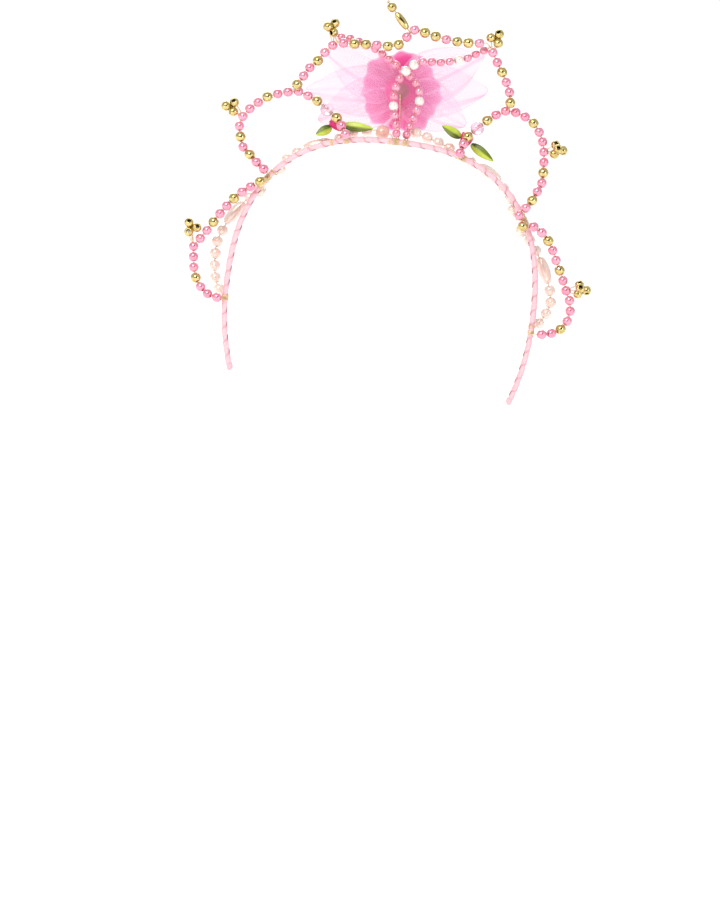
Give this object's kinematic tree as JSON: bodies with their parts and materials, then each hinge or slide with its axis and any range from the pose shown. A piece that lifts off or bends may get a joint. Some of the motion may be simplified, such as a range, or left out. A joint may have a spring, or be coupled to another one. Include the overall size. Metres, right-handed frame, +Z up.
{
  "type": "flower crown",
  "caption": "Child's flower crown: satin-wrapped headband with hand-bent beaded wire arches, gold bead tips, a leaning finial, pearl strands, an organza flower and ribbon rosebuds with leaves.",
  "frame": {"origin": "middle of the flat facet under the top of the headband, where the crown rests on the head", "axes": "+Z up, away from the head; +X the wearer's left; -Y the way the wearer faces, which is the side the flower opens to"},
  "size_m": [0.2058, 0.0373, 0.1922],
  "materials": {
    "band_steel": "bare spring steel, hidden under the ribbon",
    "satin_pink": "satin ribbon wound in overlapping turns",
    "gold_wire": "drawn craft wire, brass coloured",
    "pink_pearl": "pearl lacquer over plastic beads, some of the beads gold plated",
    "ivory_pearl": "translucent ivory pearl lacquer",
    "gold": "vacuum-plated polished gold",
    "crystal": "faceted, clear with a pale pink iridescent coat",
    "peach_bead": "translucent peach, polished",
    "felt": "pressed felt disc",
    "organza": "sheer organza with heat-sealed edges",
    "rose_organza": "sheer deep pink organza, gathered",
    "magenta_satin": "satin ribbon rolled into a rosebud",
    "leaf_satin": "green satin ribbon folded into a leaf"
  },
  "bodies": {
    "crown": {"headband_core": "band_steel", "satin_wrap": "satin_pink", "binding_outer_left": "gold_wire", "binding_inner_left": "gold_wire", "binding_outer_right": "gold_wire", "binding_inner_right": "gold_wire", "finial_stem": "gold_wire", "flower_wire": "gold_wire", "side_arch_left": "pink_pearl", "side_arch_right": "pink_pearl", "middle_arch_left": "pink_pearl", "middle_arch_right": "pink_pearl", "top_arch_left": "pink_pearl", "top_arch_right": "pink_pearl", "top_chain": "pink_pearl", "inner_chain_left": "pink_pearl", "inner_chain_right": "pink_pearl", "ivory_top_left": "ivory_pearl", "ivory_top_right": "ivory_pearl", "ivory_middle_left": "ivory_pearl", "ivory_middle_right": "ivory_pearl", "ivory_low_left": "ivory_pearl", "ivory_low_right": "ivory_pearl", "side_tip_left": "gold", "side_tip_right": "gold", "middle_tip_left": "gold", "middle_tip_right": "gold", "top_tip_left": "gold", "top_tip_right": "gold", "flower_backing": "felt", "outer_petal_1": "organza", "outer_petal_2": "organza", "outer_petal_3": "organza", "outer_petal_4": "organza", "outer_petal_5": "organza", "outer_petal_6": "organza", "inner_petal_1": "rose_organza", "inner_petal_2": "rose_organza", "inner_petal_3": "rose_organza", "inner_petal_4": "rose_organza", "flower_bud": "rose_organza", "rosebud_left": "magenta_satin", "rosebud_right": "magenta_satin", "leaf_outer_left": "leaf_satin", "leaf_outer_right": "leaf_satin", "leaf_inner_left": "leaf_satin", "leaf_inner_right": "leaf_satin"},
    "left_arm": {"arm_core_left": "band_steel", "arm_wrap_left": "satin_pink", "end_cap_left": "satin_pink"},
    "right_arm": {"arm_core_right": "band_steel", "arm_wrap_right": "satin_pink", "end_cap_right": "satin_pink"},
    "crystal_left": {"crystal_left": "crystal"},
    "crystal_right": {"crystal_right": "crystal"},
    "peach_bead": {"peach_bead": "peach_bead"},
    "finial_oval": {"finial_oval": "gold"},
    "finial_ball": {"finial_ball": "gold"}
  },
  "joints": [
    {"name": "left_arm_flex", "type": "hinge", "parent": "crown", "child": "left_arm", "pos_m": [0.07651, 0, -0.09143], "axis": [0, -1, 0], "range_deg": [-3, 12], "stiffness_Nm_per_rad": 0.2},
    {"name": "right_arm_flex", "type": "hinge", "parent": "crown", "child": "right_arm", "pos_m": [-0.07651, 0, -0.09143], "axis": [0, 1, 0], "range_deg": [-3, 12], "stiffness_Nm_per_rad": 0.2},
    {"name": "crystal_left_spin", "type": "hinge", "parent": "crown", "child": "crystal_left", "pos_m": [0.03775, 0.00168, 0.01322], "axis": [-0.8265, 0.1512, -0.5422], "continuous": true},
    {"name": "crystal_right_spin", "type": "hinge", "parent": "crown", "child": "crystal_right", "pos_m": [-0.03763, 0.00164, 0.01302], "axis": [0.6873, 0.1499, -0.7107], "continuous": true},
    {"name": "peach_bead_spin", "type": "hinge", "parent": "crown", "child": "peach_bead", "pos_m": [0.00898, -0.0077, 0.00542], "axis": [0.9895, 0, 0.1449], "continuous": true},
    {"name": "finial_oval_spin", "type": "hinge", "parent": "crown", "child": "finial_oval", "pos_m": [0.00634, 0.0026, 0.06127], "axis": [0.682, 0, 0.7314], "continuous": true},
    {"name": "finial_ball_spin", "type": "hinge", "parent": "crown", "child": "finial_ball", "pos_m": [0.01193, 0.0026, 0.06726], "axis": [0.682, 0, 0.7314], "continuous": true}
  ]
}
